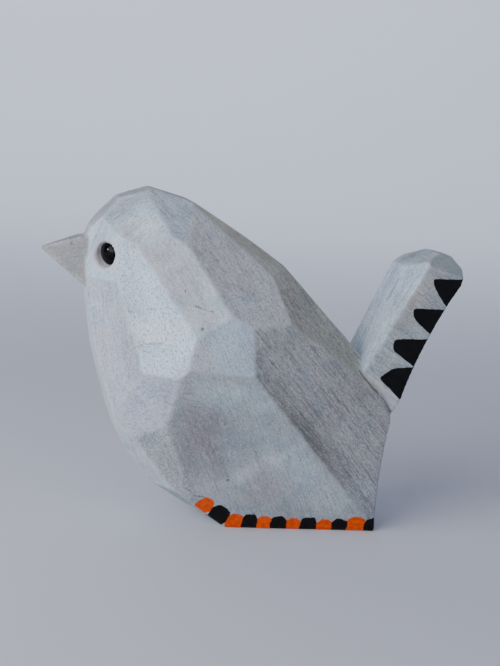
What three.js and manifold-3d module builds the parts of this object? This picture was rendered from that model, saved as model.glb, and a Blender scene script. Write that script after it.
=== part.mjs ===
// A small songbird with a cocked tail, carved with a knife from one board of wood.
// It is sawn to its outline first, then shaped by long flat knife cuts.
// Millimetres. X runs from beak to tail, Z is up, and the bird stands on Z = 0.
import * as THREE from 'three';
import { mergeVertices } from 'three/addons/utils/BufferGeometryUtils.js';
import Module from 'manifold-3d';

const wasm = await Module();
wasm.setup();

// Driving dimensions
const LENGTH = 90; // tip of the beak to the end of the tail
const BOARD_THICKNESS = 40; // the board the body is cut from
const TAIL_THICKNESS = 17;
const BEAK_THICKNESS = 7; // where the beak leaves the face
const BEAK_TIP_THICKNESS = 0.9;
const EYE_DIAMETER = 4.5;
const EYE_DOME = 0.8; // rise of the eye's rounded front
const EYE_DEPTH = 3; // length of the eye behind its dome
const EYE_CLEARANCE = 0.3; // gap between the eye and its hole
const DISH_DIAMETER = 6.5; // mouth of the round hollow in which the eye sits
const DISH_DEPTH = 1.1;

// Free forms keep their proportions: one share is a hundredth of the length
const SHARE = LENGTH / 100;

// Sawn outline of the body in shares, [along, up], from the brow over the back and round
const BODY_TOP = [
  [-38.9, 68.5],
  [-32.9, 75.5],
  [-25.5, 78.1],
  [-16.3, 75.9],
  [-2.4, 68],
  [6.6, 62.2],
];
const RUMP = [27.6, 41.4]; // where the back meets the tail
const TAIL_ROOT = [35.5, 27]; // where the tail's rear edge leaves the body
const HEEL = [33.1, 0];
const TOE = [-3.8, 0];
const BODY_FRONT = [
  [-11.7, 4],
  [-20, 8.6],
  [-25.8, 14.5],
  [-30.1, 21.4],
  [-34, 32.8],
  [-36.5, 40.8],
  [-38.7, 52],
  [-39.8, 66],
];
const SAW_CUT_TOP = [49.1, 60.3]; // upper end of the saw cut behind the tail

// Sawn outlines of the tail and the beak, [along, up] in shares
const TAIL_FRONT = [
  [28.5, 42.5],
  [36.4, 63.7],
  [44.2, 67.4],
  [47.6, 66.8],
  [50, 63.8],
];
const TAIL_FOOT = [24.6, 37];
const BEAK_TIP = [-50, 62.8];
const BEAK_BASE_LOW = [-39.3, 54.6];
const BEAK_BASE = [[-41, 66], [-33.4, 66], [-33.4, 54.6], BEAK_BASE_LOW];

// One saw cut hollows the whole rear edge, from the tail's tip to the heel
const SAW_CUT_HOLLOW = 4.7; // at its middle, in shares
const SAW_CUT_STEPS = 24;

// Knife cuts. Each passes through the point (along, up) at a depth under the board's face, in
// shares, and faces out from the board, turned towards the beak and tilted up, in degrees.
// It is made on both sides unless it names its sides.
const LEFT = -1; // towards -Y
const RIGHT = 1;
const BODY_CUTS = [
  { name: 'eye', along: -32.9, up: 57, depth: 11.4, turn: 46, tilt: 3 },
  { name: 'cheek', along: -25.6, up: 53.1, depth: 6.6, turn: 31, tilt: 6 },
  { name: 'temple', along: -28.1, up: 72.2, depth: 14.2, turn: 19, tilt: 31 },
  { name: 'neck', along: -18.7, up: 61, depth: 6, turn: 14, tilt: 20 },
  { name: 'nape', along: -20.6, up: 72.3, depth: 13, turn: -3, tilt: 41 },
  { name: 'shoulder', along: -6.1, up: 58.8, depth: 6.2, turn: -20, tilt: 37 },
  { name: 'upper back', along: -4.7, up: 67.9, depth: 15.3, turn: -43, tilt: 48 },
  { name: 'lower back', along: 12, up: 50.6, depth: 10.3, turn: -47, tilt: 36 },
  { name: 'wing', along: 11.4, up: 36, depth: 5.2, turn: -22, tilt: 3 },
  { name: 'flank', along: -5.4, up: 20, depth: 6.1, turn: 1, tilt: -18 },
  { name: 'upper breast', along: -32.9, up: 57, depth: 11.4, turn: 46, tilt: -1 },
  { name: 'lower breast', along: -24.4, up: 30, depth: 5.8, turn: 31, tilt: -12 },
  { name: 'front flank', along: -19.8, up: 26, depth: 4, turn: 24, tilt: -25 },
  { name: 'keel', along: -22.1, up: 15.6, depth: 10.3, turn: 62, tilt: -39 },
  { name: 'belly', along: -11.7, up: 6, depth: 10.8, turn: 62, tilt: -54 },
];
const TAIL_CUTS = [
  { name: 'left front', along: 35.2, up: 54.2, depth: 0, turn: 55, tilt: 23, sides: [LEFT] },
  { name: 'right front', along: 32, up: 53, depth: 1.9, turn: 45, tilt: 20, sides: [RIGHT] },
  { name: 'root', along: 33.1, up: 34.8, depth: 0, turn: 22, tilt: -28 },
  { name: 'tip', along: 46.2, up: 63, depth: 0, turn: -20, tilt: 48 },
];

// The eyes sit in their dishes on the eye cut, at this place in shares. They face a little
// further forward and down than the cut, in degrees.
const EYE_CUT = BODY_CUTS[0];
const EYE_PLACE = { along: -36, up: 62.4 };
const EYE_AIM = { turn: 57, tilt: -12 };
const EYE_SIDES = 40; // round the eye, its hole and its dish
const DOME_STEPS = 10;

// Painted wood and glossy eyes
const carvedWood = new THREE.MeshStandardMaterial({ color: 0xb9c2c6, roughness: 0.75, metalness: 0 });
const eyeGloss = new THREE.MeshStandardMaterial({ color: 0x050505, roughness: 0.12, metalness: 0 });

function toSolid(geometry) {
  const bare = geometry.clone();
  bare.deleteAttribute('normal');
  bare.deleteAttribute('uv');
  const merged = mergeVertices(bare);
  return new wasm.Manifold(
    new wasm.Mesh({
      numProp: 3,
      vertProperties: new Float32Array(merged.attributes.position.array),
      triVerts: new Uint32Array(merged.index.array),
    }),
  );
}

function toMesh(name, solid, material) {
  const { vertProperties, triVerts } = solid.getMesh();
  const geometry = new THREE.BufferGeometry();
  geometry.setAttribute('position', new THREE.BufferAttribute(vertProperties, 3));
  geometry.setIndex(new THREE.BufferAttribute(triVerts, 1));
  const mesh = new THREE.Mesh(geometry, material);
  mesh.name = name;
  return mesh;
}

// Points along the saw cut, from its top down to the heel, as an arc of the given hollow
function sawCut(top, bottom) {
  const start = new THREE.Vector2(...top);
  const end = new THREE.Vector2(...bottom);
  const chord = end.clone().sub(start);
  const across = new THREE.Vector2(-chord.y, chord.x).normalize();
  const inward = across.x < 0 ? across : across.negate();
  const half = chord.length() / 2;
  const radius = (half ** 2 + SAW_CUT_HOLLOW ** 2) / (2 * SAW_CUT_HOLLOW);
  const points = [];
  for (let step = 0; step <= SAW_CUT_STEPS; step++) {
    const run = (2 * step) / SAW_CUT_STEPS - 1;
    const hollow = Math.sqrt(radius ** 2 - (run * half) ** 2) - (radius - SAW_CUT_HOLLOW);
    const point = start.clone().addScaledVector(chord, (run + 1) / 2).addScaledVector(inward, hollow);
    points.push([point.x, point.y]);
  }
  return points;
}

// The direction a cut faces: side is -1 on the bird's left, which faces -Y, and 1 on its right
function facing({ turn, tilt }, side) {
  const turned = THREE.MathUtils.degToRad(turn);
  const tilted = THREE.MathUtils.degToRad(tilt);
  return new THREE.Vector3(
    -Math.sin(turned) * Math.cos(tilted),
    side * Math.cos(turned) * Math.cos(tilted),
    Math.sin(tilted),
  );
}

// The point a cut passes through, in millimetres
function cutPoint({ along, up, depth }, thickness, side) {
  const out = thickness / 2 - depth * SHARE;
  return new THREE.Vector3(along * SHARE, side * out, up * SHARE);
}

// The wood that a cut takes away: a large block standing on the cut's plane
function waste(cut, thickness, side) {
  const size = 3 * LENGTH;
  const geometry = new THREE.BoxGeometry(size, size, size);
  geometry.translate(0, 0, size / 2);
  const turned = new THREE.Quaternion().setFromUnitVectors(new THREE.Vector3(0, 0, 1), facing(cut, side));
  geometry.applyQuaternion(turned);
  geometry.translate(...cutPoint(cut, thickness, side));
  return toSolid(geometry);
}

// A board sawn to an outline in shares, centred on the bird's middle plane, then cut with a knife
function carvedBoard(outline, thickness, cuts) {
  const shape = new THREE.Shape(outline.map(([along, up]) => new THREE.Vector2(along * SHARE, up * SHARE)));
  const geometry = new THREE.ExtrudeGeometry(shape, { depth: thickness, bevelEnabled: false });
  geometry.rotateX(Math.PI / 2);
  geometry.translate(0, thickness / 2, 0);
  let solid = toSolid(geometry);
  for (const cut of cuts) {
    for (const side of cut.sides ?? [LEFT, RIGHT]) solid = solid.subtract(waste(cut, thickness, side));
  }
  return solid;
}

// The beak's cheeks run straight from its tip to its full thickness at the lower base
function beak() {
  const [tip] = BEAK_TIP;
  const [along, up] = BEAK_BASE_LOW;
  const narrowing = (BEAK_THICKNESS - BEAK_TIP_THICKNESS) / 2;
  const turn = THREE.MathUtils.radToDeg(Math.atan2(narrowing, (along - tip) * SHARE));
  const cuts = [{ name: 'beak side', along, up, depth: 0, turn, tilt: 0 }];
  return carvedBoard([BEAK_TIP, ...BEAK_BASE], BEAK_THICKNESS, cuts);
}

// The eye's place on the eye cut, in millimetres
function eyePlace(side) {
  const normal = facing(EYE_CUT, side);
  const place = new THREE.Vector3(EYE_PLACE.along * SHARE, 0, EYE_PLACE.up * SHARE);
  place.y = normal.dot(cutPoint(EYE_CUT, BOARD_THICKNESS, side).sub(place)) / normal.y;
  return place;
}

// Turns a lathed form from its own Y axis into the eye's place
function placeEye(geometry, side) {
  const aimed = new THREE.Quaternion().setFromUnitVectors(new THREE.Vector3(0, 1, 0), facing(EYE_AIM, side));
  geometry.applyQuaternion(aimed);
  return geometry.translate(...eyePlace(side));
}

// The ball that hollows the dish
function eyeDish(side) {
  const mouth = DISH_DIAMETER / 2;
  const radius = (mouth ** 2 + DISH_DEPTH ** 2) / (2 * DISH_DEPTH);
  const centre = eyePlace(side).addScaledVector(facing(EYE_CUT, side), radius - DISH_DEPTH);
  const geometry = new THREE.SphereGeometry(radius, EYE_SIDES, EYE_SIDES / 2);
  return toSolid(geometry.translate(...centre));
}

// The drilled hole behind the eye, open to the front
function eyeHole(side) {
  const hole = EYE_DIAMETER / 2 + EYE_CLEARANCE;
  const length = EYE_DEPTH + EYE_CLEARANCE + DISH_DIAMETER;
  const geometry = new THREE.CylinderGeometry(hole, hole, length, EYE_SIDES);
  geometry.translate(0, length / 2 - DISH_DEPTH - EYE_DEPTH - EYE_CLEARANCE, 0);
  return toSolid(placeEye(geometry, side));
}

// The eye: a short rod with a domed front, standing in its hole
function eyeSolid(side) {
  const radius = EYE_DIAMETER / 2;
  const ball = (radius ** 2 + EYE_DOME ** 2) / (2 * EYE_DOME);
  const back = -DISH_DEPTH - EYE_DEPTH;
  const profile = [new THREE.Vector2(0, back), new THREE.Vector2(radius, back)];
  for (let step = 0; step < DOME_STEPS; step++) {
    const at = radius * Math.cos((step / DOME_STEPS) * (Math.PI / 2));
    const rise = Math.sqrt(ball ** 2 - at ** 2) - (ball - EYE_DOME);
    profile.push(new THREE.Vector2(at, rise - DISH_DEPTH));
  }
  profile.push(new THREE.Vector2(0, EYE_DOME - DISH_DEPTH));
  return toSolid(placeEye(new THREE.LatheGeometry(profile, EYE_SIDES), side));
}

function birdSolid() {
  const rear = sawCut(SAW_CUT_TOP, HEEL);
  const bodyRear = rear.filter(([, up]) => up < TAIL_ROOT[1]);
  const tailRear = rear.filter(([, up]) => up > TAIL_ROOT[1]);
  const bodyOutline = [...BODY_TOP, RUMP, TAIL_ROOT, ...bodyRear, TOE, ...BODY_FRONT];
  const tailOutline = [...TAIL_FRONT, ...tailRear, TAIL_ROOT, TAIL_FOOT];
  const body = carvedBoard(bodyOutline, BOARD_THICKNESS, BODY_CUTS);
  const tail = carvedBoard(tailOutline, TAIL_THICKNESS, TAIL_CUTS);
  let whole = body.add(tail).add(beak());
  for (const side of [LEFT, RIGHT]) whole = whole.subtract(eyeDish(side)).subtract(eyeHole(side));
  return whole;
}

const bird = new THREE.Group();
bird.add(toMesh('body', birdSolid(), carvedWood));
bird.add(toMesh('eye_left', eyeSolid(LEFT), eyeGloss));
bird.add(toMesh('eye_right', eyeSolid(RIGHT), eyeGloss));

export default bird;
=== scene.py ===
"""Looks for a small songbird carved from wood with a knife and painted pale grey."""

import math

import bmesh
import bpy
import numpy as np
from mathutils import Matrix, Vector
from mathutils.bvhtree import BVHTree
from mathutils.kdtree import KDTree


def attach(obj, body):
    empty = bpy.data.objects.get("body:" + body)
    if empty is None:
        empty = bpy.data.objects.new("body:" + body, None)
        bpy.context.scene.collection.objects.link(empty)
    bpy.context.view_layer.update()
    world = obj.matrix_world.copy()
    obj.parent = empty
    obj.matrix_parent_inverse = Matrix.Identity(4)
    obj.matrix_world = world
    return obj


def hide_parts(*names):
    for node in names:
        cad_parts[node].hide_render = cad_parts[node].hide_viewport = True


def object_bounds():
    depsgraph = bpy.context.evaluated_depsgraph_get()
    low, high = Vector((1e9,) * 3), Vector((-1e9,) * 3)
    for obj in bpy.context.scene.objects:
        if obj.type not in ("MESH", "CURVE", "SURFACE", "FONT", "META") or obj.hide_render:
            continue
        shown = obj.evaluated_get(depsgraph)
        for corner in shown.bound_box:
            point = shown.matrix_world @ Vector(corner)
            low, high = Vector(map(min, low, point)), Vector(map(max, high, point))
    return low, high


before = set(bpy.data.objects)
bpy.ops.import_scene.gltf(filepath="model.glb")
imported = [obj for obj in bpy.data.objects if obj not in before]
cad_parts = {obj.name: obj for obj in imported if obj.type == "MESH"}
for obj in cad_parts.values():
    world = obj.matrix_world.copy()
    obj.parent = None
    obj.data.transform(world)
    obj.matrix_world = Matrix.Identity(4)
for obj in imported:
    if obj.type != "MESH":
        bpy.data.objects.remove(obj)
cad_low, cad_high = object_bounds()

MM = 0.001


# Camera
PHOTO_HEIGHT = 666  # pixels; the photograph is 500 wide
FOCAL_PIXELS = 1500
SENSOR = 36  # millimetres
YAW, PITCH, ROLL = map(math.radians, (12.5, 8.8, 4.7))
CAMERA_DISTANCE = 320.9 * MM
CAMERA_TARGET = Vector((0.8, 0, 40.6)) * MM


def make_camera():
    back = Vector((-math.sin(YAW) * math.cos(PITCH), -math.cos(YAW) * math.cos(PITCH), math.sin(PITCH)))
    level = Vector((math.cos(YAW), -math.sin(YAW), 0))
    upright = back.cross(level)
    right = math.cos(ROLL) * level + math.sin(ROLL) * upright
    up = math.cos(ROLL) * upright - math.sin(ROLL) * level
    camera = bpy.data.objects.new("camera", bpy.data.cameras.new("camera"))
    camera.data.sensor_width = SENSOR
    camera.data.lens = FOCAL_PIXELS * SENSOR / PHOTO_HEIGHT
    camera.data.clip_start, camera.data.clip_end = 0.01, 10
    camera.matrix_world = Matrix(
        [
            (right.x, up.x, back.x, 0),
            (right.y, up.y, back.y, 0),
            (right.z, up.z, back.z, 0),
            (0, 0, 0, 1),
        ]
    )
    camera.location = CAMERA_TARGET + back * CAMERA_DISTANCE
    bpy.context.scene.collection.objects.link(camera)
    bpy.context.scene.camera = camera


make_camera()


# Node helpers
SQUARENESS = 3  # the power that makes an ellipse squarer


class Nodes:
    """Builds a node tree with short calls; a number or a socket goes into an input alike."""

    def __init__(self, name):
        self.material = bpy.data.materials.new(name)
        self.material.use_nodes = True
        self.tree = self.material.node_tree
        self.shader = next(n for n in self.tree.nodes if n.type == "BSDF_PRINCIPLED")

    def node(self, kind, **settings):
        made = self.tree.nodes.new(kind)
        for key, value in settings.items():
            setattr(made, key, value)
        return made

    def put(self, value, socket):
        if isinstance(value, bpy.types.NodeSocket):
            self.tree.links.new(value, socket)
        else:
            socket.default_value = value

    def math(self, operation, a, b=0.0, c=0.0, clamp=False):
        made = self.node("ShaderNodeMath", operation=operation, use_clamp=clamp)
        for value, socket in zip((a, b, c), made.inputs):
            self.put(value, socket)
        return made.outputs[0]

    def vector(self, operation, a, b=(0, 0, 0)):
        made = self.node("ShaderNodeVectorMath", operation=operation)
        self.put(a, made.inputs[0])
        self.put(b, made.inputs[1])
        return made.outputs["Value" if operation in ("LENGTH", "DOT_PRODUCT") else "Vector"]

    def scaled(self, vector, x, y, z):
        return self.vector("MULTIPLY", vector, (x, y, z))

    def millimetres(self):
        """The place on the object, in millimetres."""
        return self.scaled(self.node("ShaderNodeTexCoord").outputs["Object"], 1000, 1000, 1000)

    def noise(self, vector, scale, detail, roughness, colour=False):
        made = self.node("ShaderNodeTexNoise")
        self.put(vector, made.inputs["Vector"])
        made.inputs["Scale"].default_value = scale
        made.inputs["Detail"].default_value = detail
        made.inputs["Roughness"].default_value = roughness
        return made.outputs["Color" if colour else "Fac"]

    def spread(self, value, low, high, to_low=0.0, to_high=1.0, smooth=True):
        made = self.node("ShaderNodeMapRange", interpolation_type="SMOOTHSTEP" if smooth else "LINEAR")
        for v, socket in zip((value, low, high, to_low, to_high), made.inputs):
            self.put(v, socket)
        return made.outputs[0]

    def mix(self, factor, a, b, blend="MIX"):
        made = self.node("ShaderNodeMix", data_type="RGBA", blend_type=blend)
        self.put(factor, made.inputs[0])
        self.put(a, made.inputs[6])
        self.put(b, made.inputs[7])
        return made.outputs[2]

    def over(self, colour, mask, strength, other):
        """The colour with another tone laid over it where the mask shows, as strongly as given."""
        return self.mix(self.math("MULTIPLY", mask, strength), colour, tone(*other))

    def split(self, vector):
        made = self.node("ShaderNodeSeparateXYZ")
        self.put(vector, made.inputs[0])
        return made.outputs

    def join(self, x, y, z):
        made = self.node("ShaderNodeCombineXYZ")
        for value, socket in zip((x, y, z), made.inputs):
            self.put(value, socket)
        return made.outputs[0]

    def ellipse(self, point, centre, sizes, lean, square=False):
        """How far a point's x and z lie from a leaning ellipse's middle: 1 is its outline."""
        away = self.vector("SUBTRACT", point, centre)
        c, s = math.cos(math.radians(lean)), math.sin(math.radians(lean))
        along = self.vector("DOT_PRODUCT", away, (c / sizes[0], 0, s / sizes[0]))
        across = self.vector("DOT_PRODUCT", away, (-s / sizes[1], 0, c / sizes[1]))
        if square:
            u, v = (self.math("POWER", self.math("ABSOLUTE", d), SQUARENESS) for d in (along, across))
            return self.math("POWER", self.math("ADD", u, v), 1 / SQUARENESS)
        return self.vector("LENGTH", self.join(along, across, 0))

    def stroke(self, point, path):
        """The distance from a point to a line drawn through the path's points."""
        nearest = None
        for a, b in zip(path, path[1:]):
            a, b = Vector(a), Vector(b)
            away = self.vector("SUBTRACT", point, a)
            line = b - a
            share = self.vector("DOT_PRODUCT", away, line)
            share = self.math("DIVIDE", share, line.length_squared, clamp=True)
            beside = self.vector("SUBTRACT", away, self.scaled(self.join(share, share, share), *line))
            far = self.vector("LENGTH", beside)
            nearest = far if nearest is None else self.math("MINIMUM", nearest, far)
        return nearest

    def attribute(self, name, output="Fac"):
        return self.node("ShaderNodeAttribute", attribute_name=name).outputs[output]

    def bump(self, height, strength, distance):
        made = self.node("ShaderNodeBump")
        made.inputs["Strength"].default_value = strength
        made.inputs["Distance"].default_value = distance
        self.put(height, made.inputs["Height"])
        return made.outputs[0]


def tone(red, green, blue):
    """A linear colour from values of 0 to 255 as seen on a screen."""
    channels = []
    for value in (red, green, blue):
        v = value / 255
        channels.append(v / 12.92 if v <= 0.04045 else ((v + 0.055) / 1.055) ** 2.4)
    return (*channels, 1.0)


# The carved body's fine surface
# Lengths in this section and the next are in millimetres unless they say otherwise.
VOXEL = 0.42 * MM
SAME_DIRECTION, SAME_PLANE = 0.9998, 0.06  # triangles of one facet: cosine and distance between planes
SMALLEST_FACET = 3.5  # square millimetres; smaller ones belong to round forms
SHARP_BEND, SHARPEST_BEND = 6, 26  # degrees
RIDGE_STEP, RIDGE_WIDTH = 0.25, 0.55  # between points on a ridge, and of its worn paint and painted highlight
BORDER_STRAY, BORDER_WAVE = 0.24, 2.2  # how far the paint's borders stray from the ridges, in what waves
KNIFE_WAVES = ((0.05, 7.0, 3), (0.022, 2.6, 5))  # the cuts' unevenness: height, size and seed
UNDERSIDE_FLAT = 0.8  # the unevenness fades out below this height
body_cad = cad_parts["body"]


def flat_facets(mesh):
    """Groups the solid's triangles into flat facets: a facet number for each triangle, and for each
    facet its direction, middle and area, in millimetres."""
    mesh.calc_loop_triangles()
    points = np.array([v.co for v in mesh.vertices]) / MM
    faces = np.array([t.vertices for t in mesh.loop_triangles])
    cross = np.cross(points[faces[:, 1]] - points[faces[:, 0]], points[faces[:, 2]] - points[faces[:, 0]])
    area = np.linalg.norm(cross, axis=1) / 2
    normal = cross / np.maximum(2 * area, 1e-9)[:, None]
    middle = points[faces].mean(1)
    offset = (normal * middle).sum(1)
    number = np.full(len(faces), -1)
    found = []
    for i in np.argsort(-area):
        for k, (n, d) in enumerate(found):
            if normal[i] @ n > SAME_DIRECTION and abs(offset[i] - d) < SAME_PLANE:
                number[i] = k
                break
        else:
            number[i] = len(found)
            found.append((normal[i], offset[i]))
    facets = []
    for k, (n, _) in enumerate(found):
        mine = number == k
        total = area[mine].sum()
        centre = (middle[mine] * area[mine, None]).sum(0) / max(total, 1e-9)
        facets.append({"normal": n, "middle": centre, "area": total})
    small = {k for k, f in enumerate(facets) if f["area"] < SMALLEST_FACET}
    return points, faces, number, facets, small


def sharp_points(points, faces, number, facets, small):
    """Points along the ridges between large facets, each with the ridge's bend in degrees."""
    beside = {}
    for face, k in zip(faces, number):
        for a, b in ((0, 1), (1, 2), (2, 0)):
            p, q = tuple(np.round(points[face[a]], 3)), tuple(np.round(points[face[b]], 3))
            beside.setdefault((min(p, q), max(p, q)), set()).add(k)
    along = []
    for (p, q), kinds in beside.items():
        if len(kinds) != 2 or kinds & small:
            continue
        first, second = kinds
        cosine = np.clip(facets[first]["normal"] @ facets[second]["normal"], -1, 1)
        bend = math.degrees(math.acos(cosine))
        if bend < SHARP_BEND:
            continue
        p, q = np.array(p), np.array(q)
        steps = max(1, int(np.linalg.norm(q - p) / RIDGE_STEP))
        for s in range(steps + 1):
            along.append((p + (q - p) * s / steps, bend))
    return along


def remeshed(source, voxel, name):
    """A closed, even mesh over the source's surface."""
    mesh = source.data.copy()
    thing = bpy.data.objects.new(name, mesh)
    bpy.context.scene.collection.objects.link(thing)
    weld = bmesh.new()
    weld.from_mesh(mesh)
    bmesh.ops.remove_doubles(weld, verts=weld.verts, dist=1e-6)
    weld.to_mesh(mesh)
    weld.free()
    remesh = thing.modifiers.new("even", "REMESH")
    remesh.mode = "VOXEL"
    remesh.voxel_size = voxel
    remesh.adaptivity = 0
    bpy.context.view_layer.update()
    fine = bpy.data.meshes.new_from_object(thing.evaluated_get(bpy.context.evaluated_depsgraph_get()))
    thing.modifiers.clear()
    thing.data = fine
    fine.materials.clear()
    return thing


def smoothed(points, edges, rounds):
    """Points eased half way towards the mean of their neighbours."""
    count = np.bincount(edges.ravel(), minlength=len(points)).astype(float)
    for _ in range(rounds):
        total = np.zeros_like(points)
        np.add.at(total, edges[:, 0], points[edges[:, 1]])
        np.add.at(total, edges[:, 1], points[edges[:, 0]])
        points = points + 0.5 * (total / count[:, None] - points)
    return points


def lattice_noise(points, size, seed):
    """Smooth noise of about -1 to 1 that repeats nowhere, with the given feature size."""
    q = points / size
    base = np.floor(q).astype(np.int64)
    f = q - base
    f = f * f * (3 - 2 * f)
    total = np.zeros(len(points))
    for corner in range(8):
        d = np.array([corner & 1, corner >> 1 & 1, corner >> 2 & 1])
        c = base + d
        h = (c[:, 0] * 73856093) ^ (c[:, 1] * 19349663) ^ (c[:, 2] * 83492791) ^ (seed * 2654435)
        h = (h ^ (h >> 13)) * 1274126177
        value = ((h ^ (h >> 16)) & 0xFFFF) / 0xFFFF * 2 - 1
        weight = np.prod(np.where(d, f, 1 - f), axis=1)
        total += value * weight
    return total


# The paint's tones: one thin wash of pale grey that turns cooler, warmer or duller.
BRIGHT = (200, 220, 240)
COOL = (185, 205, 220)
BLUE = (175, 185, 200)
PALE = (190, 200, 210)
CHALK = (205, 205, 210)
CREAM = (205, 205, 190)
GREY = (190, 190, 190)
DULL = (165, 175, 180)
BEAK_GREY = (150, 150, 150)
HORN = (170, 165, 165)
BARE_WOOD = (175, 165, 150)

# The knife's facets: the way each faces, in degrees turned towards the beak and tilted up, its rough
# place along and up in millimetres, the paint's colour, and how its streaks lie and show.
# Streak angles are in degrees above the line towards the tail.
PAINT = {
    "eye": dict(faces=(46, 3), place=(-33, 57), colour=COOL, lie=70, streak=0.5, speckle=0.4),
    "cheek": dict(faces=(31, 6), place=(-23, 46), colour=BRIGHT, lie=-75, streak=0.2, speckle=1.5),
    "temple": dict(faces=(19, 31), place=(-26, 64), colour=COOL, lie=40, streak=0.5, speckle=0.8),
    "neck": dict(faces=(14, 20), place=(-16, 52), colour=PALE, lie=-60, streak=0.4, speckle=0.8),
    "nape": dict(faces=(-3, 41), place=(-19, 66), colour=BLUE, lie=-40, streak=0.75, speckle=0.8),
    "shoulder": dict(faces=(-20, 37), place=(-6, 54), colour=CHALK, lie=-55, streak=0.65, speckle=1.1),
    "upper back": dict(faces=(-43, 48), place=(-3, 60), colour=CREAM, lie=-40, streak=0.5, speckle=0.3),
    "lower back": dict(faces=(-47, 36), place=(13, 44), colour=CREAM, lie=-50, streak=0.9, speckle=1.0),
    "side": dict(faces=(0, 0), place=(-8, 40), colour=COOL, lie=-60, streak=0.55, speckle=1.1),
    "wing": dict(faces=(-22, 3), place=(16, 27), colour=GREY, lie=-47, streak=1.3, speckle=1.0),
    "flank": dict(faces=(1, -18), place=(1, 15), colour=DULL, lie=-62, streak=0.55, speckle=0.7),
    "upper breast": dict(faces=(46, -1), place=(-30, 39), colour=BLUE, lie=-80, streak=0.5, speckle=0.8),
    "lower breast": dict(faces=(31, -12), place=(-22, 27), colour=BLUE, lie=-30, streak=0.4, speckle=0.9),
    "front flank": dict(faces=(24, -25), place=(-18, 15), colour=DULL, lie=-60, streak=0.7, speckle=1.2),
    "keel": dict(faces=(62, -39), place=(-22, 14), colour=PALE, lie=-60, streak=0.4, speckle=0.5),
    "belly": dict(faces=(62, -54), place=(-11, 5), colour=DULL, lie=-30, streak=0.4, speckle=0.3),
    "tail side": dict(faces=(0, 0), place=(34, 44), colour=DULL, lie=-32, streak=0.9, speckle=0.8),
    # the tail front's bright tone is partly its paler paint and partly painted light where the body shades
    # it
    "tail front": dict(faces=(90, 20), place=(29, 47), colour=BRIGHT, lie=68, streak=1.0, speckle=1.0),
    "tail chamfer": dict(faces=(55, 23), place=(31, 50), colour=COOL, lie=64, streak=0.7, speckle=0.9),
    "tail root": dict(faces=(22, -28), place=(30, 30), colour=CHALK, lie=-40, streak=0.4, speckle=0.2),
    "tail tip": dict(faces=(-20, 48), place=(41, 58), colour=DULL, lie=-20, streak=0.3, speckle=0.4),
    "beak": dict(faces=(18, 0), place=(-39, 55), colour=BEAK_GREY, lie=10, streak=0.3, speckle=0.6),
    "beak top": dict(faces=(90, 70), place=(-40, 58), colour=HORN, lie=10, streak=0.3, speckle=0.6),
    "beak under": dict(faces=(90, -52), place=(-39, 52), colour=HORN, lie=10, streak=0.3, speckle=0.6),
    "forehead": dict(faces=(90, 40), place=(-32, 65), colour=BLUE, lie=48, streak=1.0, speckle=0.2),
    "brow": dict(faces=(90, 20), place=(-35, 61), colour=BLUE, lie=60, streak=1.0, speckle=0.2),
    "crown": dict(faces=(90, 71), place=(-26, 69), colour=DULL, lie=20, streak=0.9, speckle=0.2),
    "nape top": dict(faces=(-90, 77), place=(-18, 69), colour=GREY, lie=-15, streak=0.7, speckle=0.2),
    "back top": dict(faces=(-90, 58), place=(-5, 62), colour=GREY, lie=-30, streak=0.7, speckle=0.2),
    "rump top": dict(faces=(-90, 45), place=(15, 47), colour=GREY, lie=-45, streak=0.7, speckle=0.2),
    "breast front": dict(faces=(90, -15), place=(-33, 38), colour=PALE, lie=-75, streak=0.5, speckle=0.2),
    "belly front": dict(faces=(90, -45), place=(-20, 10), colour=PALE, lie=-50, streak=0.4, speckle=0.2),
    "rear": dict(faces=(-90, -10), place=(31, 15), colour=GREY, lie=85, streak=0.8, speckle=0.2),
    "tail rear": dict(faces=(-90, -25), place=(38, 45), colour=GREY, lie=60, streak=0.8, speckle=0.2),
    "tail top": dict(faces=(90, 65), place=(36, 59), colour=PALE, lie=25, streak=0.6, speckle=0.3),
    "tail end": dict(faces=(-90, 80), place=(41, 60), colour=DULL, lie=-20, streak=0.4, speckle=0.3),
    "underside": dict(faces=(0, -90), place=(13, 0), colour=BARE_WOOD, lie=0, streak=1.0, speckle=0.3),
}


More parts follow.
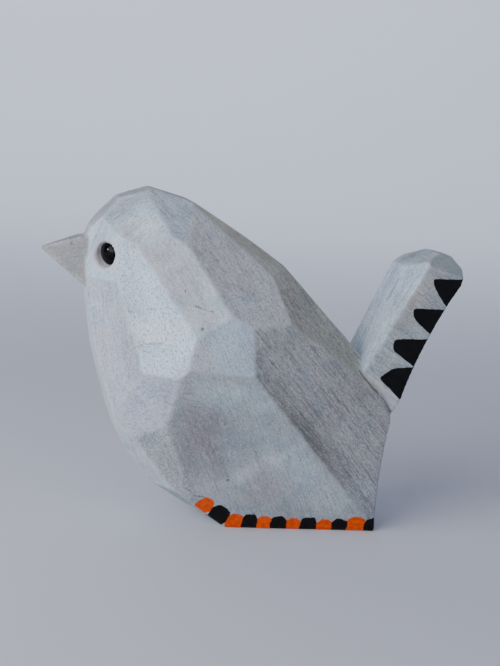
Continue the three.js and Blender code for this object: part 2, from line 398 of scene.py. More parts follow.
# Soft patches on the facets: where they are, their place along and up and half sizes in millimetres,
# the lie of their long side in degrees, the colour, and how strongly it covers.
PATCHES = [
    ("wing", (10.0, 22.5), (19, 3.6), -47, (112, 107, 101), 0.65),
    ("wing", (25.5, 8.5), (6, 6), 0, (188, 202, 212), 0.5),
    ("wing", (21, 33), (8, 7), -30, (168, 166, 162), 0.4),
    ("wing", (16.5, 27), (13, 2.2), -47, (190, 192, 198), 0.35),
    ("flank", (-11.5, 22), (9, 6.2), 75, (136, 127, 134), 0.6),
    ("flank", (-3, 31), (14, 2.4), -15, (196, 210, 218), 0.6),
    ("flank", (14, 12), (11, 4.5), -38, (196, 211, 219), 0.6),
    ("flank", (5.2, 10.5), (3.2, 4.6), -60, (182, 174, 182), 0.55),
    # painted highlight: a sheen-like light band across the flank's middle
    ("flank", (2.0, 15.0), (11, 1.3), 33, (212, 222, 228), 0.6),
    ("flank", (-10, 30.5), (9, 2.6), -8, (190, 210, 214), 0.6),
    ("flank", (-7, 16), (5, 1.6), -65, (136, 130, 134), 0.5),
    ("flank", (-8, 8), (6, 2.6), -20, (176, 182, 190), 0.5),
    ("front flank", (-19, 17), (6, 3.2), -60, (150, 152, 163), 0.5),
    ("neck", (-21, 56), (8, 5), -60, (196, 186, 188), 0.35),
    ("neck", (-11.5, 52), (12, 2.0), -68, (206, 218, 228), 0.75),
    ("side", (-14, 37), (4.5, 7), 0, (204, 190, 192), 0.45),
    ("side", (-4.5, 41), (4.5, 7), -60, (184, 202, 212), 0.55),
    ("shoulder", (-5, 48.5), (2.6, 4), -60, (188, 206, 218), 0.6),
    ("shoulder", (-13, 58), (7, 2), -55, (182, 178, 184), 0.4),
    # painted highlight: these two thin pale lines run along the ridge between the shoulder and the upper
    # back
    ("shoulder", (-0.5, 54.5), (6, 0.9), -50, (214, 216, 222), 0.5),
    ("upper back", (-2, 57.5), (6, 1.2), -40, (214, 218, 218), 0.6),
    ("temple", (-25, 63.5), (4.0, 3.0), 0, (214, 228, 238), 0.65),
    ("temple", (-27.5, 67.3), (9, 1.5), 30, (136, 141, 152), 0.5),
    ("temple", (-29, 61), (4, 2), 45, (190, 184, 188), 0.35),
    ("nape", (-18, 66), (4, 3), -40, (186, 202, 212), 0.4),
    ("forehead", (-32, 65), (8, 6), 48, (150, 156, 167), 0.4),
    ("upper breast", (-31.4, 38), (6.5, 1.5), -85, (206, 196, 186), 0.35),
    ("upper breast", (-30, 33), (4, 4), 0, (184, 183, 198), 0.5),
    ("upper breast", (-33, 45), (4, 3), 0, (180, 200, 216), 0.45),
    ("cheek", (-27, 49), (9, 1.8), -78, (168, 176, 186), 0.45),
    ("cheek", (-22, 42), (5, 4), 0, (222, 230, 238), 0.5),
    ("lower breast", (-25, 24), (6, 3), -60, (182, 182, 200), 0.45),
    ("tail side", (35, 52), (8, 3), 60, (186, 180, 172), 0.5),
    ("tail side", (29, 37), (5, 3), 60, (196, 204, 202), 0.5),
    ("tail top", (38, 60), (5, 1.2), 25, (132, 138, 146), 0.5),
    # pale patch on the tail front: partly paler paint, partly painted light where the body shades it
    ("tail front", (27, 43), (6, 3), 60, (218, 226, 232), 0.6),
]
PATCH_WANDER = 3.1  # the patches' outlines wander with noise of this size
BEAK_BASE = (-37.6, -34.8)  # where the beak's tone fades into the face
BEAK_LOW, BEAK_SIDE = 47, 8  # the beak's tone stays above and within these
# The growth rings show as arcs around the heart, with |y|, and fade out around their middle, which
# has its place along and up.
RING_HEART = (-16, 12, 20)
RING_MIDDLE, RING_REACH = (-14, 25), 12
RINGED_FACETS = ("flank", "front flank", "lower breast", "upper breast")
# Points this far aside from an eye's axis and this far out along it are drawn in to the bead.
HOLE_NEAR, HOLE_FAR, HOLE_DEEP, HOLE_HIGH = 1.8, 2.7, -3.6, 2
RIM_LEVEL = -1.0  # the hole's wall lies below this and its rim above
HOLE_RADIUS, RIM_RADIUS = 2.27, 2.5  # the eye's hole round the bead, and its rim
DISH_EDGE, SOCKET_EDGE = (3.5, 0.5), (2.75, 0.45)  # radius and softness of the two tones
EYE_REACH = 6  # the tones end this far along the eye's axis
EYE_TURN, EYE_TILT = 57, -12  # how the eyes face, in degrees
# painted light over the eye's dish, and painted shade in the hole round the bead
DISH_PAINTED_LIGHT_TONE, SOCKET_SHADE_TONE = (204, 210, 216), (176, 168, 170)


def facing(turn, tilt, side=1):
    """The direction that is turned towards the beak and tilted up by these degrees; side 1 is +Y."""
    t, e = math.radians(turn), math.radians(tilt)
    return Vector((-math.sin(t) * math.cos(e), side * math.cos(t) * math.cos(e), math.sin(e)))


def eye_tip():
    """The top of the solid eye's dome in millimetres, with y for side 1."""
    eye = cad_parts["eye_right"]
    points = [eye.matrix_world @ v.co / MM for v in eye.data.vertices]
    return max(points, key=facing(EYE_TURN, EYE_TILT).dot)


EYE_TIP = eye_tip()


def turn_and_tilt(normal):
    """How a facet faces, in degrees, as seen on the bird's left; its right side reads alike."""
    x, y, z = normal
    return math.degrees(math.atan2(-x, abs(y))), math.degrees(math.asin(max(-1, min(1, z))))


PLACE_WEIGHT = 0.7  # degrees a millimetre, when a facet is matched to its paint


def paint_of(facet):
    """The name of the paint that belongs to a facet of the solid."""
    turn, tilt = turn_and_tilt(facet["normal"])
    x, _, z = facet["middle"]
    direction = facing(turn, tilt)

    def miss(name):
        apart = math.degrees(math.acos(max(-1, min(1, direction @ facing(*PAINT[name]["faces"])))))
        px, pz = PAINT[name]["place"]
        return apart + PLACE_WEIGHT * math.hypot(x - px, z - pz)

    return min(PAINT, key=miss)


def mesh_points(mesh, field="co"):
    """The vertices' places, or their normals, as the rows of an array."""
    values = np.empty(len(mesh.vertices) * 3)
    mesh.vertices.foreach_get(field, values)
    return values.reshape(-1, 3)


def mesh_edges(mesh):
    edges = np.empty(len(mesh.edges) * 2, np.int64)
    mesh.edges.foreach_get("vertices", edges)
    return edges.reshape(-1, 2)


def move_points(mesh, points):
    """Moves the vertices to these places in millimetres."""
    mesh.vertices.foreach_set("co", (points * MM).ravel())
    mesh.update()


def noises(points, size, seeds):
    return np.stack([lattice_noise(points, size, seed) for seed in seeds], 1)


def nearest_facets(co, points, faces, number):
    """The facet each point is painted as; the paint's borders stray a little from the ridges."""
    tree = BVHTree.FromPolygons([tuple(p) for p in points], [tuple(map(int, f)) for f in faces])
    strayed = co + noises(co, BORDER_WAVE, (21, 22, 23)) * BORDER_STRAY
    return number[[tree.find_nearest(Vector(p))[2] for p in strayed]]


def ridge_wear_and_highlight(co, ridges):
    """How much of a ridge's worn paint and painted highlight each point has, more on a sharper ridge."""
    tree = KDTree(len(ridges))
    for i, (p, _) in enumerate(ridges):
        tree.insert(Vector(p), i)
    tree.balance()
    found = [tree.find(Vector(p)) for p in co]
    distance = np.array([f[2] for f in found])
    bend = np.array([ridges[f[1]][1] for f in found])
    sharpness = np.clip((bend - SHARP_BEND) / (SHARPEST_BEND - SHARP_BEND), 0, 1)
    return np.exp(-((distance / RIDGE_WIDTH) ** 2)) * (0.35 + 0.65 * sharpness)


def drawn_in_to_eyes(points, left):
    """Points with the eyes' holes drawn in to their beads, and how far each lies out along its
    eye's axis and aside from it. Points on the left are worked out as on the right."""
    axis, tip = np.array(facing(EYE_TURN, EYE_TILT)), np.array(EYE_TIP)
    mirror = np.where(left[:, None], (1, -1, 1), (1, 1, 1))
    away = points * mirror - tip
    out = away @ axis
    radial = away - out[:, None] * axis
    aside = np.linalg.norm(radial, axis=1)
    beside = (aside > HOLE_NEAR) & (aside < HOLE_FAR) & (out > HOLE_DEEP) & (out < HOLE_HIGH)
    below_rim = out < RIM_LEVEL
    wanted = np.where(beside & below_rim, HOLE_RADIUS, aside)
    wanted = np.where(beside & ~below_rim, np.maximum(aside, RIM_RADIUS), wanted)
    radial *= (wanted / np.maximum(aside, 1e-6))[:, None]
    return (tip + out[:, None] * axis + radial) * mirror, out, aside


def shape_surface(mesh, co, edges):
    """Rounds the ridges a little, draws in the eyes' holes and adds the knife's unevenness."""
    eased, out, aside = drawn_in_to_eyes(smoothed(co, edges, 1), co[:, 1] < 0)
    move_points(mesh, eased)
    height = sum(rise * lattice_noise(eased, size, seed) for rise, size, seed in KNIFE_WAVES)
    level = np.clip(co[:, 2] / UNDERSIDE_FLAT, 0, 1)
    eased = eased + mesh_points(mesh, "normal") * (height * level)[:, None]
    move_points(mesh, np.clip(eased, np.array(cad_low) / MM, np.array(cad_high) / MM))
    return out, aside


def cover(colours, amount, other):
    """Lays another tone over the points' colours, as strongly as given for each."""
    colours += amount[:, None] * (np.array(tone(*other)) - colours)


def patch_amount(co, wander, place, sizes, lean):
    """How much of a soft leaning patch each point has."""
    c, s = math.cos(math.radians(lean)), math.sin(math.radians(lean))
    away = co[:, [0, 2]] - place + wander
    u, v = (away @ (c, s)) / sizes[0], (away @ (-s, c)) / sizes[1]
    return np.exp(-((u * u + v * v) ** 1.3))


def paint_colours(co, names, edges, dish, socket):
    """Each point's colour: its facet's tone, the patches, the beak, and painted light and shade in the
    eye's dish.
    """
    colours = np.array([tone(*PAINT[name]["colour"]) for name in names])
    wander = noises(co, PATCH_WANDER, (11, 12))
    for name, place, sizes, lean, colour, amount in PATCHES:
        cover(colours, patch_amount(co, wander, place, sizes, lean) * amount * (names == name), colour)
    beak = np.clip((co[:, 0] - BEAK_BASE[0]) / (BEAK_BASE[1] - BEAK_BASE[0]), 0, 1)
    beak = 1 - beak * beak * (3 - 2 * beak)
    beak *= (co[:, 2] > BEAK_LOW) & (np.abs(co[:, 1]) < BEAK_SIDE)
    cover(colours, beak, BEAK_GREY)
    colours[:, :3] = smoothed(colours[:, :3], edges, 1)
    # painted light: a pale tone over the eye's dish that lifts its shading, and painted shade where the
    # bead is set in
    cover(colours, dish, DISH_PAINTED_LIGHT_TONE)
    cover(colours, socket, SOCKET_SHADE_TONE)
    return colours


FACES_ALONG = 0.75  # facets that face the beak or the tail more than this have streaks across y
SIDES_APART = 40  # keeps the two sides' grain from being alike


def grain_places(co, names, normals):
    """How far along and across its streaks each point lies, in millimetres, with the sides apart."""
    lie = np.radians([PAINT[name]["lie"] for name in names])
    x, y, z = co.T
    run = x * np.cos(lie) + z * np.sin(lie)
    over = -x * np.sin(lie) + z * np.cos(lie)
    over = np.where(np.abs(normals[:, 0]) > FACES_ALONG, y, over)
    return np.stack([run, over, np.sign(y) * SIDES_APART + y * 0.3], 1)


def make_body():
    points, faces, number, facets, small = flat_facets(body_cad.data)
    ridges = sharp_points(points, faces, number, facets, small)
    body = remeshed(body_cad, VOXEL, "carved_body")
    mesh = body.data
    co = mesh_points(mesh) / MM
    edges = mesh_edges(mesh)
    facet_number = nearest_facets(co, points, faces, number)
    paints = {k: paint_of(f) for k, f in enumerate(facets)}
    names = np.array([paints[k] for k in facet_number])
    normals = np.array([facets[k]["normal"] for k in facet_number])
    out, aside = shape_surface(mesh, co, edges)
    near = np.abs(out) < EYE_REACH
    # masks for the painted light on the eye's dish and the painted shade round the bead
    dish, socket = (np.clip((edge - aside) / soft, 0, 1) * near for edge, soft in (DISH_EDGE, SOCKET_EDGE))
    fields = {"FLOAT": "value", "FLOAT_VECTOR": "vector", "FLOAT_COLOR": "color"}

    def keep(name, values, kind="FLOAT"):
        attribute = mesh.attributes.new(name, kind, "POINT")
        attribute.data.foreach_set(fields[kind], np.asarray(values, np.float32).ravel())

    keep("paint", paint_colours(co, names, edges, dish, socket), "FLOAT_COLOR")
    for name in ("streak", "speckle"):
        values = smoothed(np.array([[PAINT[n][name]] for n in names]), edges, 2)
        keep(name, values[:, 0] * (1 - dish))
    ringed = np.isin(names, RINGED_FACETS)
    from_middle = (co[:, [0, 2]] - RING_MIDDLE) / RING_REACH
    keep("rings", ringed * np.exp(-(from_middle**2).sum(1)))
    # worn paint and painted highlight along the ridges
    keep("ridge", ridge_wear_and_highlight(co, ridges))
    keep("grain", grain_places(co, names, normals), "FLOAT_VECTOR")
    mesh.shade_smooth()
    return body


body = make_body()


# The painted marks
# A row of dabbed dots along each flank's lower edge: middle along and up, half sizes, lean.
DOTS = [
    ((-8.2, 5.1), (2.1, 1.75), 35),
    ((-4.9, 2.95), (2.15, 2.2), -30),
    ((-1.2, 1.35), (2.1, 2.0), 5),
    ((1.95, 1.2), (1.65, 2.15), 0),
    ((5.1, 1.2), (2.05, 1.8), 4),
    ((8.3, 1.15), (1.75, 1.9), 0),
    ((11.4, 1.0), (2.0, 1.7), -3),
    ((14.9, 1.05), (1.85, 1.95), 8),
    ((18.4, 1.05), (1.95, 1.6), 0),
    ((21.7, 1.0), (1.75, 1.8), -6),
    ((25.2, 1.25), (2.5, 2.15), 3),
    ((28.9, 1.0), (1.7, 1.95), 0),
]
# Four dark scallops down the tail's rear edge: the upper left corner, which way the left end runs and
# how far back it is cut, how far it drops, the slopes of the lower and upper edges, and the rounding.
SCALLOPS = [
    dict(corner=(37.8, 55.3), nose=(1, 0.18), back=0, drop=1.0, low=-1.32, top=0.03, soft=1.0),
    dict(corner=(34.0, 48.8), nose=(1, 0.18), back=0, drop=1.7, low=-0.82, top=0.0, soft=1.5),
    dict(corner=(30.2, 42.0), nose=(1, 0.1), back=0, drop=2.1, low=-0.66, top=0.04, soft=2.2),
    dict(corner=(27.9, 35.4), nose=(0.6, -0.8), back=1.5, drop=1.7, low=-0.90, top=0.1, soft=0.8),
]
TAIL_FLAT = (8.1, 8.35)  # the tail's flat side starts this far from the middle
# Fine dark lines: the points they pass, with y for the left or |y| for both sides, half width, strength.
# The valley line is painted shade in the crease between the wing and the tail.
# painted shade: a dark line along the crease where the wing meets the tail
VALLEY_SHADE_LINE = [
    (23.3, 8.8, 35.0),
    (24.7, 9.0, 33.4),
    (26.2, 8.9, 31.7),
    (28.0, 8.2, 29.9),
    (30.0, 7.0, 28.0),
    (31.9, 6.2, 25.8),
]
CRACKS = [
    ([(-25.7, 13.5, 38.5), (-24.2, 14.4, 39.7), (-22.5, 15.4, 39.8), (-20.4, 16.6, 40.4)], 0.10, 0.5),
    ([(31.7, -3.3, 54.5), (29.9, -2.5, 49.6)], 0.16, 0.7),
    # the valley's painted shade line
    (VALLEY_SHADE_LINE, 0.22, 0.6),
    ([(25.4, 8.4, 36.8), (26.4, 8.5, 34.9)], 0.12, 0.4),
    ([(-37.6, 2.6, 50.4), (-35.4, 3.3, 48.5)], 0.22, 0.55),
    ([(-38.9, 1.2, 59.2), (-38.6, 2.4, 57.8)], 0.22, 0.5),
    ([(-14.6, 17.65, 48.3), (-13.7, 18.0, 47.95)], 0.13, 0.6),
    ([(-13.3, 18.1, 47.9), (-12.6, 18.35, 47.75)], 0.1, 0.5),
    ([(-11.8, 18.55, 47.6), (-11.2, 18.7, 47.6)], 0.13, 0.6),
    ([(-12.8, 11.5, 9.2), (-11.7, 11.3, 8.4)], 0.14, 0.5),
    ([(-10.6, 11.0, 7.4), (-8.0, 10.8, 7.0)], 0.14, 0.5),
]
# Small dark pits: the place, with |y|, and the size.
PITS = [
    ((-13.3, 19.6, 44.0), 0.38),
    ((-16.7, 16.1, 51.0), 0.26),
    ((-22.8, 14.3, 46.6), 0.2),
    ((-20.6, 15.7, 46.2), 0.2),
    ((-4.1, 12.4, 11.3), 0.36),
    ((-4.1, 12.7, 12.3), 0.2),
]


# Tones on the body: the thin washes, the grain that shows through, the speckle, wear with painted
# highlight on the ridges, damage and a painted shade line in the valley, the dots and scallops, each in
# two tones, and the bare wood underneath.
PINK_WASH, COOL_WASH = (234, 222, 224), (214, 228, 237)
BROAD_TONE, FIBRE_TONE = (108, 108, 112), (92, 92, 97)
PALE_FIBRE_TONE, HAIR_TONE = (224, 228, 232), (104, 106, 112)
RING_TONE, DUST_TONE, PALE_DUST_TONE = (98, 98, 106), (112, 116, 124), (232, 236, 240)
# worn paint with painted highlight on the ridges; cracks, pits and the painted shade line in the valley
WORN_AND_HIGHLIGHT_TONE, CRACK_AND_SHADE_TONE = (216, 222, 228), (58, 56, 60)
ORANGE_TONES = (228, 84, 12), (206, 66, 8)
BLACK_TONES = (3, 3, 4), (11, 11, 12)
WOOD_TONES = (186, 166, 134), (150, 126, 96)
RING_DENSITY = 5.2  # radians a millimetre
BELLY_SLOPE, BELLY_RISE = 0.72, 2.5  # the flank's lower edge in front: 0.72 x + z + 2.5 mm is 0 on it
FLANK_SIDE = (8.2, 8.6)  # the dots start this far from the middle
BUMP_STRENGTH, BUMP_DEPTH = 0.6, 0.13 * MM


def washed(n, colour, mm, cloud):
    """Cloudy washes of pinker and cooler paint."""
    colour = n.mix(n.spread(cloud, 0.45, 0.68, 0, 0.55), colour, tone(*PINK_WASH), "MULTIPLY")
    cool = n.noise(n.vector("ADD", mm, (31, 7, 12)), 0.2, 4, 0.65)
    return n.mix(n.spread(cool, 0.45, 0.66, 0, 0.6), colour, tone(*COOL_WASH), "MULTIPLY")


def grained(n, colour, grain, streak, fibre, hair):
    """Broad streaks, fibres and hair-fine lines of wood under the thin paint."""
    broad = n.noise(n.scaled(grain, 0.05, 0.8, 1), 1.0, 3, 0.6)
    colour = n.over(colour, n.spread(broad, 0.46, 0.7), n.math("MULTIPLY", streak, 0.3), BROAD_TONE)
    colour = n.over(colour, n.spread(fibre, 0.52, 0.7), n.math("MULTIPLY", streak, 0.6), FIBRE_TONE)
    colour = n.over(colour, n.spread(fibre, 0.47, 0.3), n.math("MULTIPLY", streak, 0.3), PALE_FIBRE_TONE)
    lined = n.math("MULTIPLY_ADD", streak, 0.7, 0.25)
    return n.over(colour, n.spread(hair, 0.48, 0.66), n.math("MULTIPLY", lined, 0.5), HAIR_TONE)


def ringed(n, colour, mm, loose):
    """Growth rings cut across, broken up under the paint."""
    from_heart = n.vector("LENGTH", n.vector("SUBTRACT", loose, RING_HEART))
    wave = n.math("SINE", n.math("MULTIPLY", from_heart, RING_DENSITY))
    broken = n.spread(n.noise(mm, 0.45, 2, 0.6), 0.4, 0.62)
    shown = n.math("MULTIPLY", n.spread(wave, 0.3, 1.0), n.attribute("rings"))
    return n.over(colour, n.math("MULTIPLY", shown, broken), 0.42, RING_TONE)


def speckled(n, colour, dust):
    """The paint's fine speckle, dark and light."""
    speckle = n.attribute("speckle")
    dark = n.math("MULTIPLY_ADD", speckle, 0.4, 0.1)
    colour = n.over(colour, n.spread(dust, 0.5, 0.66), dark, DUST_TONE)
    pale = n.math("MULTIPLY_ADD", speckle, 0.26, 0.08)
    return n.over(colour, n.spread(dust, 0.46, 0.3), pale, PALE_DUST_TONE)


def worn_and_highlit(n, colour, mm):
    """Paint worn lighter along the ridges, together with painted highlight on them, more in some places
    than in others.
    """
    amount = n.spread(n.noise(mm, 0.8, 3, 0.6), 0.35, 0.65, 0.0, 0.26)
    return n.over(colour, n.attribute("ridge"), amount, WORN_AND_HIGHLIGHT_TONE)


def cracks_pits_and_shade_line(n, loose, loose_left):
    """How strongly the cracks, the pits and the painted shade line in the valley show at a place."""
    shown = 0.0
    for path, width, strength in CRACKS:
        far = n.stroke(loose if path[0][1] > 0 else loose_left, path)
        mark = n.math("MULTIPLY", n.spread(far, width * 2.2, width * 0.4), strength)
        shown = n.math("MAXIMUM", shown, mark)
    for point, size in PITS:
        far = n.vector("LENGTH", n.vector("SUBTRACT", loose, point))
        shown = n.math("MAXIMUM", shown, n.math("MULTIPLY", n.spread(far, size * 1.4, size * 0.5), 0.7))
    return shown


def dots(n, loose, x, y, z):
    """How strongly the orange and the black dots show, kept to the flank above its lower edge."""
    over_belly = n.math("MULTIPLY_ADD", x, BELLY_SLOPE, n.math("ADD", z, BELLY_RISE))
    on_flank = n.math("MULTIPLY", n.spread(over_belly, -0.1, 0.15), n.spread(z, 0.02, 0.2))
    on_flank = n.math("MULTIPLY", on_flank, n.spread(y, *FLANK_SIDE))
    shown = []
    for first in (0, 1):
        nearest = None
        for centre, sizes, lean in DOTS[first::2]:
            far = n.ellipse(loose, (centre[0], 0, centre[1]), sizes, lean, square=first == 1)
            nearest = far if nearest is None else n.math("MINIMUM", nearest, far)
        shown.append(n.math("MULTIPLY", n.spread(nearest, 1.05, 0.97), on_flank))
    return shown


def scallops(n, edge, y):
    """How strongly the scallops show on the tail's flat sides."""
    shown = 0.0
    for mark in SCALLOPS:
        corner = n.vector("SUBTRACT", edge, (mark["corner"][0], 0, mark["corner"][1]))
        above = n.vector("DOT_PRODUCT", corner, (-mark["top"], 0, 1))
        before = n.vector("DOT_PRODUCT", corner, (-mark["nose"][0], 0, -mark["nose"][1]))
        before = n.math("ADD", before, mark["back"])
        size = math.hypot(1, mark["low"])
        below = n.vector("DOT_PRODUCT", corner, (mark["low"] / size, 0, -1 / size))
        below = n.math("SUBTRACT", below, mark["drop"] / size)
        outside = n.math("SMOOTH_MAX", above, before, mark["soft"])
        outside = n.math("SMOOTH_MAX", outside, below, 1.0)
        within = n.math("MULTIPLY", n.spread(outside, 0.22, 0.08), n.spread(y, *TAIL_FLAT))
        shown = n.math("MAXIMUM", shown, within)
    return shown


def bare_underneath(n, colour, mm, z, cloud):
    """Bare wood under the bird, with thin paint left on it in clouds."""
    wood = n.noise(n.scaled(mm, 0.12, 1.8, 1), 1.0, 4, 0.6)
    wood = n.mix(wood, *(tone(*shade) for shade in WOOD_TONES))
    bare = n.math("MULTIPLY", n.spread(z, 0.12, 0.02), n.spread(cloud, 0.3, 0.5, 0.6, 0.95))
    return n.mix(bare, colour, wood)


def body_material():
    n = Nodes("painted_carved_wood")
    mm = n.millimetres()
    x, y, z = n.split(mm)
    y = n.math("ABSOLUTE", y)
    both = n.join(x, y, z)  # the two sides are painted alike
    wander = n.vector("SUBTRACT", n.noise(mm, 0.9, 2, 0.6, colour=True), (0.5, 0.5, 0.5))
    loose = n.vector("ADD", both, n.scaled(wander, 0.9, 0.3, 0.9))
    loose_left = n.vector("ADD", mm, n.scaled(wander, 0.5, 0.3, 0.5))
    edge = n.vector("ADD", both, n.scaled(wander, 0.35, 0.1, 0.35))
    grain = n.attribute("grain", "Vector")
    streak = n.attribute("streak")
    cloud = n.noise(mm, 0.11, 3, 0.6)
    fibre = n.noise(n.scaled(grain, 0.13, 2.3, 1), 1.0, 4, 0.7)
    hair = n.noise(n.scaled(grain, 0.7, 4.4, 1.5), 1.0, 2, 0.65)
    dust = n.noise(n.scaled(grain, 2.3, 3.5, 1.5), 1.0, 2, 0.7)

    colour = washed(n, n.attribute("paint", "Color"), mm, cloud)
    colour = grained(n, colour, grain, streak, fibre, hair)
    colour = ringed(n, colour, mm, loose)
    colour = speckled(n, colour, dust)
    # worn paint and painted highlight along the ridges
    colour = worn_and_highlit(n, colour, mm)
    # cracks and pits, and painted shade along the valley between the wing and the tail
    colour = n.mix(cracks_pits_and_shade_line(n, loose, loose_left), colour, tone(*CRACK_AND_SHADE_TONE))
    orange, black = dots(n, loose, x, y, z)
    black = n.math("MAXIMUM", black, scallops(n, edge, y))
    dab = n.noise(mm, 1.1, 3, 0.6)
    orange_paint = n.mix(n.spread(dab, 0.35, 0.65), *(tone(*shade) for shade in ORANGE_TONES))
    black_paint = n.mix(n.spread(dab, 0.4, 0.7), *(tone(*shade) for shade in BLACK_TONES))
    colour = n.mix(orange, colour, orange_paint)
    colour = n.mix(black, colour, black_paint)
    colour = bare_underneath(n, colour, mm, z, cloud)
    n.put(colour, n.shader.inputs["Base Color"])

    rough = n.spread(fibre, 0.2, 0.8, 0.6, 0.8, smooth=False)
    rough = n.math("SUBTRACT", rough, n.math("MULTIPLY", n.math("MAXIMUM", orange, black), 0.22))
    n.put(rough, n.shader.inputs["Roughness"])
    n.shader.inputs["Specular IOR Level"].default_value = 0.2
    height = n.math("MULTIPLY", fibre, n.math("MULTIPLY", streak, 0.8))
    height = n.math("ADD", height, n.math("MULTIPLY", hair, 0.35))
    height = n.math("ADD", height, n.math("MULTIPLY", dust, 0.3))
    n.put(n.bump(height, BUMP_STRENGTH, BUMP_DEPTH), n.shader.inputs["Normal"])
    return n.material


body.data.materials.append(body_material())
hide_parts("body")
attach(body, "root")


# The eyes
EYE_RADIUS, EYE_DOME, EYE_SHANK = 2.23, 0.79, 3.6  # millimetres, within the solid eye
SHANK_INSET, RIM_DROP = 0.1, (-0.12, -0.3)  # the rim rounds over into the narrower shank
EYE_AROUND, EYE_RINGS = 56, 18
BEAD_TONE, HAZE_TONE, BEAD_DUST_TONE = (2, 2, 2), (6, 5, 6), (90, 86, 88)


def bead(side):
    """A domed bead with a rounded rim and a shank that goes into its hole."""
    ball = (EYE_RADIUS**2 + EYE_DOME**2) / (2 * EYE_DOME)
    profile = [(0.0, EYE_DOME)]
    for step in range(1, EYE_RINGS + 1):
        radius = EYE_RADIUS * math.sin(step / EYE_RINGS * math.pi / 2)
        rise = math.sqrt(ball**2 - radius**2) - (ball - EYE_DOME)
        profile.append((radius, rise))
    shank, bottom = EYE_RADIUS - SHANK_INSET, EYE_DOME - EYE_SHANK
    profile += [(EYE_RADIUS, RIM_DROP[0]), (shank, RIM_DROP[1]), (shank, bottom), (0.0, bottom)]
    axis = facing(EYE_TURN, EYE_TILT, side)
    across = axis.cross(Vector((0, 0, 1))).normalized()
    upright = across.cross(axis)
    tip = Vector((EYE_TIP.x, side * EYE_TIP.y, EYE_TIP.z))
    made = bmesh.new()
    rows = []
    for radius, rise in profile:
        if radius == 0:
            rows.append([made.verts.new((tip + axis * (rise - EYE_DOME)) * MM)])
            continue
        row = []
        for k in range(EYE_AROUND):
            angle = 2 * math.pi * k / EYE_AROUND
            aside = across * math.cos(angle) * radius + upright * math.sin(angle) * radius
            row.append(made.verts.new((tip + axis * (rise - EYE_DOME) + aside) * MM))
        rows.append(row)
    for upper, lower in zip(rows, rows[1:]):
        for k in range(EYE_AROUND):
            j = (k + 1) % EYE_AROUND
            turns = ((upper, k), (lower, k), (lower, j), (upper, j))
            corners = [row[i % len(row)] for row, i in turns]
            made.faces.new(list(dict.fromkeys(corners)))
    bmesh.ops.recalc_face_normals(made, faces=made.faces)
    name = "eye_bead_right" if side > 0 else "eye_bead_left"
    mesh = bpy.data.meshes.new(name)
    made.to_mesh(mesh)
    made.free()
    mesh.shade_smooth()
    thing = bpy.data.objects.new(name, mesh)
    bpy.context.scene.collection.objects.link(thing)
    return thing


def bead_material():
    n = Nodes("glossy_black_bead")
    place = n.millimetres()
    haze = n.noise(place, 0.9, 3, 0.6)
    dust = n.noise(place, 7.0, 2, 0.6)
    colour = n.mix(n.spread(haze, 0.4, 0.7), tone(*BEAD_TONE), tone(*HAZE_TONE))
    colour = n.mix(n.spread(dust, 0.68, 0.76, 0, 0.15), colour, tone(*BEAD_DUST_TONE))
    n.put(colour, n.shader.inputs["Base Color"])
    n.put(n.spread(haze, 0.3, 0.7, 0.08, 0.2), n.shader.inputs["Roughness"])
    n.shader.inputs["Specular IOR Level"].default_value = 0.12
    n.put(n.bump(haze, 0.12, 0.05 * MM), n.shader.inputs["Normal"])
    return n.material


eye_gloss = bead_material()
for side, node in ((-1, "eye_left"), (1, "eye_right")):
    eye = bead(side)
    eye.data.materials.append(eye_gloss)
    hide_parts(node)
    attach(eye, "root")


# Floor and light
FLOOR_TONE = (216, 219, 229)
SWEEP_MIDDLE = 0.25  # metres, the radius of the floor's inner fan
SWEEP_FLAT, SWEEP_CURVE, SWEEP_TOP = 0.75, 0.45, 1.7  # metres: floor radius, bend, wall height
SWEEP_AROUND, SWEEP_STEPS = 96, 16
LIGHT_AIM = Vector((0, 0, 0.035))  # metres, about the bird's middle
WALL_LIGHT_PLACE, WALL_LIGHT_AIM = Vector((0, 0.42, 0.95)), Vector((0, 1.15, 0.3))
WALL_LIGHT_SIZE, WALL_LIGHT_POWER, WALL_LIGHT_SPREAD = (1.2, 0.25), 5.8, 130
WORLD_TONE, WORLD_STRENGTH = (205, 208, 220), 0.46


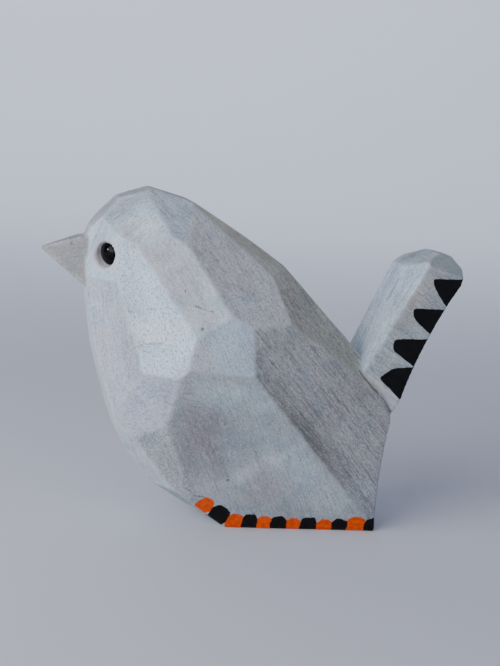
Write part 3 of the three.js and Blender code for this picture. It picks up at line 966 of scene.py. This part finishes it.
def make_stage():
    """A round floor that curves up into a plain pale wall all about."""
    profile = [(SWEEP_MIDDLE, 0.0), (SWEEP_FLAT, 0.0)]
    for step in range(1, SWEEP_STEPS + 1):
        a = step / SWEEP_STEPS * math.pi / 2
        profile.append((SWEEP_FLAT + SWEEP_CURVE * math.sin(a), SWEEP_CURVE * (1 - math.cos(a))))
    profile.append((SWEEP_FLAT + SWEEP_CURVE, SWEEP_TOP))
    points = [(0, 0, 0)]
    for radius, height in profile:
        for k in range(SWEEP_AROUND):
            a = 2 * math.pi * k / SWEEP_AROUND
            points.append((radius * math.cos(a), radius * math.sin(a), height))
    faces = [(0, 1 + k, 1 + (k + 1) % SWEEP_AROUND) for k in range(SWEEP_AROUND)]
    for row in range(len(profile) - 1):
        for k in range(SWEEP_AROUND):
            first = 1 + row * SWEEP_AROUND
            a, b = first + k, first + (k + 1) % SWEEP_AROUND
            faces.append((a, a + SWEEP_AROUND, b + SWEEP_AROUND, b))
    mesh = bpy.data.meshes.new("floor")
    mesh.from_pydata(points, [], faces)
    mesh.shade_smooth()
    floor = bpy.data.objects.new("floor", mesh)
    bpy.context.scene.collection.objects.link(floor)
    n = Nodes("pale_floor")
    n.shader.inputs["Base Color"].default_value = tone(*FLOOR_TONE)
    n.shader.inputs["Roughness"].default_value = 0.9
    mesh.materials.append(n.material)


def make_light(name, turn, tilt, distance, size, power, colour):
    """A soft square light; turn is towards the beak from the bird's left, tilt is up, in degrees."""
    t, e = math.radians(turn), math.radians(tilt)
    direction = Vector((-math.sin(t) * math.cos(e), -math.cos(t) * math.cos(e), math.sin(e)))
    lamp = bpy.data.lights.new(name, "AREA")
    lamp.size = size
    lamp.energy = power
    lamp.color = colour
    thing = bpy.data.objects.new(name, lamp)
    thing.location = LIGHT_AIM + direction * distance
    thing.rotation_euler = direction.to_track_quat("Z", "Y").to_euler()
    bpy.context.scene.collection.objects.link(thing)


def light_wall():
    """A wide lamp above and behind the bird that only brightens the wall."""
    lamp = bpy.data.lights.new("wall light", "AREA")
    lamp.shape = "RECTANGLE"
    lamp.size, lamp.size_y = WALL_LIGHT_SIZE
    lamp.energy = WALL_LIGHT_POWER
    lamp.color = (0.90, 0.94, 1.0)
    lamp.spread = math.radians(WALL_LIGHT_SPREAD)
    thing = bpy.data.objects.new("wall light", lamp)
    thing.location = WALL_LIGHT_PLACE
    aim = WALL_LIGHT_AIM - WALL_LIGHT_PLACE
    thing.rotation_euler = aim.to_track_quat("-Z", "Y").to_euler()
    bpy.context.scene.collection.objects.link(thing)


make_stage()
make_light("key", turn=50, tilt=18, distance=0.68, size=0.5, power=4.4, colour=(1.0, 0.99, 0.985))
make_light("glint", turn=80, tilt=12, distance=0.3, size=0.03, power=0.22, colour=(1.0, 0.94, 0.94))
light_wall()
world = bpy.data.worlds.new("world")
bpy.context.scene.world = world
world.use_nodes = True
background = next(n for n in world.node_tree.nodes if n.type == "BACKGROUND")
background.inputs["Color"].default_value = tone(*WORLD_TONE)
background.inputs["Strength"].default_value = WORLD_STRENGTH
